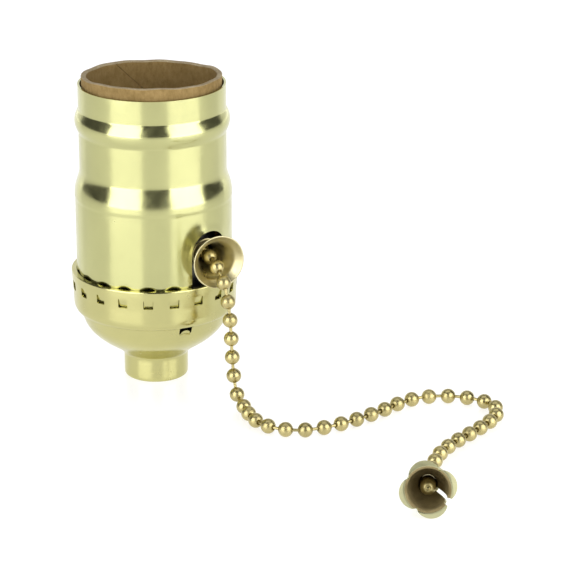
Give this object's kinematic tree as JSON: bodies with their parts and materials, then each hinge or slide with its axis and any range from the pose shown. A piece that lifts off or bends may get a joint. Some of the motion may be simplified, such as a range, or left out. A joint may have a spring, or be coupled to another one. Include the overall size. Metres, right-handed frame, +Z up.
{
  "type": "pull-chain lamp socket",
  "caption": "Brass pull-chain lamp socket with a screw shell, a cardboard liner, a flared chain guide and a ball chain that ends in a petalled bell.",
  "frame": {"origin": "centre of the hub's bottom face, on the axis of the nipple thread and the lamp thread, where the socket stands", "axes": "+Z up along the lamp thread, +X along the chain where it leaves the bell mouth, +Y to the left of that"},
  "size_m": [0.1161, 0.0755, 0.069],
  "materials": {
    "brass_sheet": "polished, thin clear lacquer",
    "bell_brass": "polished",
    "chain_brass": "bright",
    "brass_inner": "plain",
    "cardboard": "brown insulating board, matt",
    "fibre": "hard fibre, matt",
    "phenolic": "black moulded phenolic",
    "nickel": "nickel plate",
    "plated_steel": "zinc plate",
    "spring_steel": "spring wire"
  },
  "bodies": {
    "housing": {"cap": "brass_sheet", "hub_bushing": "plated_steel", "cap_liner": "fibre", "shell": "brass_sheet", "liner": "cardboard", "lower_body": "phenolic", "upper_body": "phenolic", "body_rivets": "nickel", "screw_shell": "brass_inner", "shell_rivets": "nickel", "neutral_strap": "nickel", "line_contact": "brass_inner", "brass_screw": "brass_inner", "silver_screw": "nickel", "load_contact": "brass_inner", "contact_rivet": "nickel", "center_contact": "brass_inner", "pivot_pin": "plated_steel", "return_spring": "spring_steel", "detent_spring": "spring_steel", "bell_mouth": "bell_brass", "bell_collar": "bell_brass"},
    "chain": {"chain_anchor": "chain_brass", "pull_chain": "chain_brass", "end_ball": "chain_brass", "end_bell": "bell_brass"},
    "lever": {"pull_lever": "plated_steel", "pawl_pin": "plated_steel"},
    "pawl": {"pawl": "plated_steel"},
    "rotor": {"ratchet_wheel": "plated_steel", "contact_rotor": "phenolic", "rotor_contact": "brass_inner"}
  },
  "joints": [
    {"name": "chain_pull", "type": "slide", "parent": "housing", "child": "chain", "axis": [1, 0, 0], "range_m": [0, 0.0058], "stiffness_N_per_m": 600, "springref_m": -0.004},
    {"name": "lever_swing", "type": "hinge", "parent": "housing", "child": "lever", "pos_m": [0, 0.0062, 0.024], "axis": [0, 1, 0], "range_deg": [0, 45]},
    {"name": "rotor_turn", "type": "hinge", "parent": "housing", "child": "rotor", "pos_m": [0, 0, 0.024], "axis": [0, 1, 0], "range_deg": [0, 45]},
    {"name": "pawl_lift", "type": "hinge", "parent": "lever", "child": "pawl", "pos_m": [-0.0064, 0.0028, 0.0223], "axis": [0, -1, 0], "range_deg": [0, 12], "stiffness_Nm_per_rad": 0.002, "springref_deg": -17.19}
  ],
  "couplings": [
    {"joint": "lever_swing", "follows": "chain_pull", "rad_per_m": 135.4},
    {"joint": "rotor_turn", "follows": "chain_pull", "rad_per_m": 135.4}
  ]
}
